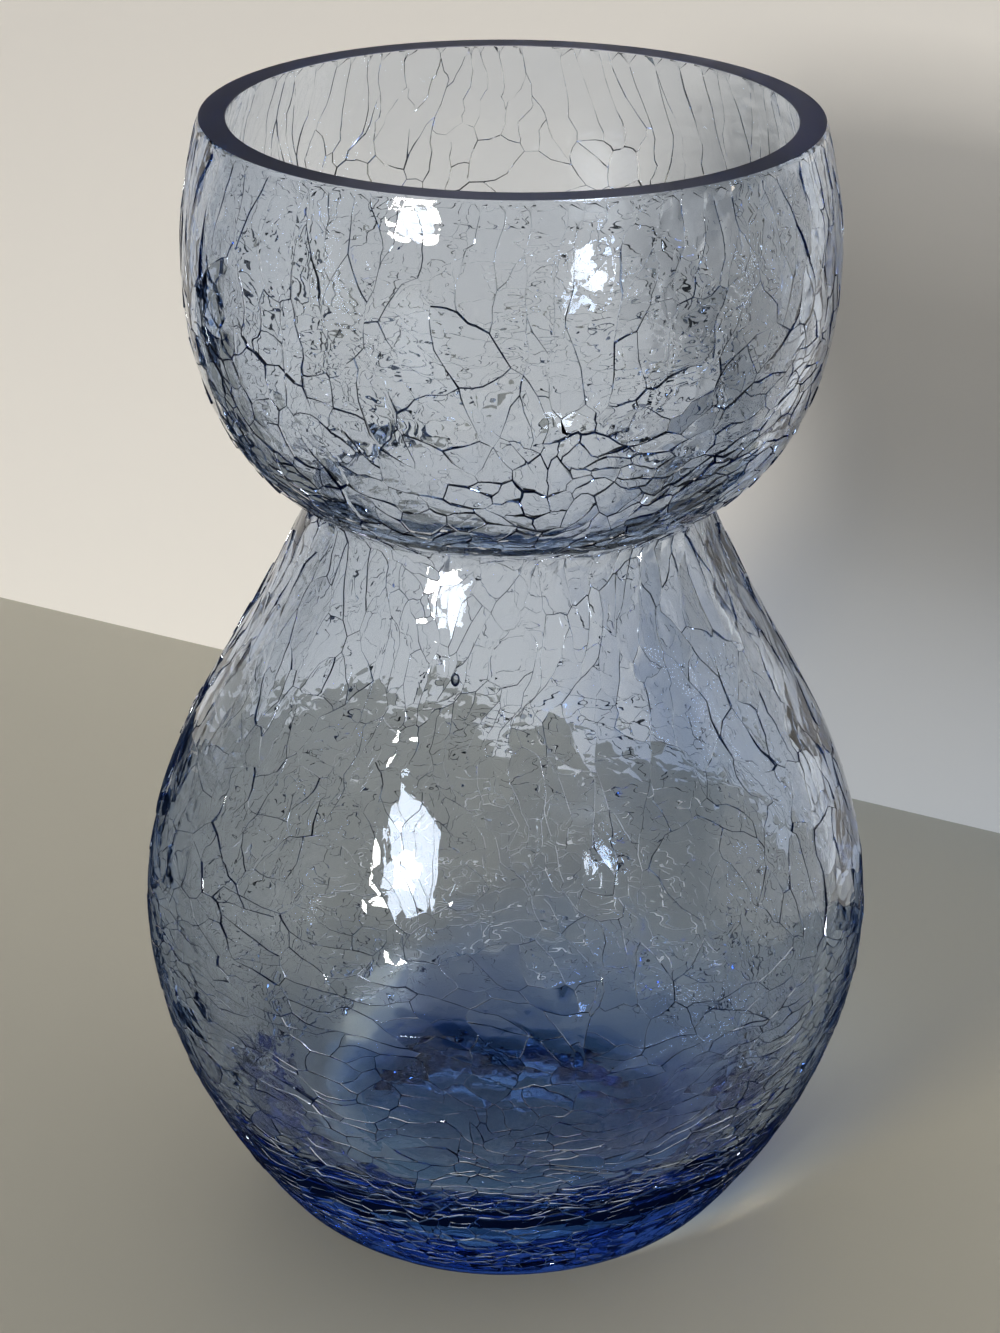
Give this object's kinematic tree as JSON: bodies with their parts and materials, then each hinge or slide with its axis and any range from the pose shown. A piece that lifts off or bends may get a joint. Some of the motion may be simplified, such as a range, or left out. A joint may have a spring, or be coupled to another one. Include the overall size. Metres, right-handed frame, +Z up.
{
  "type": "bulb forcing vase",
  "caption": "Hourglass glass vase for forcing a hyacinth bulb: a cup for the bulb over a pinched waist and a pear-shaped water reservoir on a thick base.",
  "frame": {"origin": "centre of the standing ring, on the surface that the vase stands on", "axes": "+Z up along the vase's axis, +Y away from the viewer of the picture, +X to the right"},
  "size_m": [0.103, 0.103, 0.16],
  "materials": {
    "crackle_glass": "clear pale blue blown glass with an ice crackle on the outside, fire-polished inside, ground flat at the rim"
  },
  "bodies": {
    "root": {"ground_rim": "crackle_glass", "bulb_cup": "crackle_glass", "pinched_waist": "crackle_glass", "shoulder": "crackle_glass", "belly": "crackle_glass", "thick_base": "crackle_glass"}
  },
  "joints": []
}
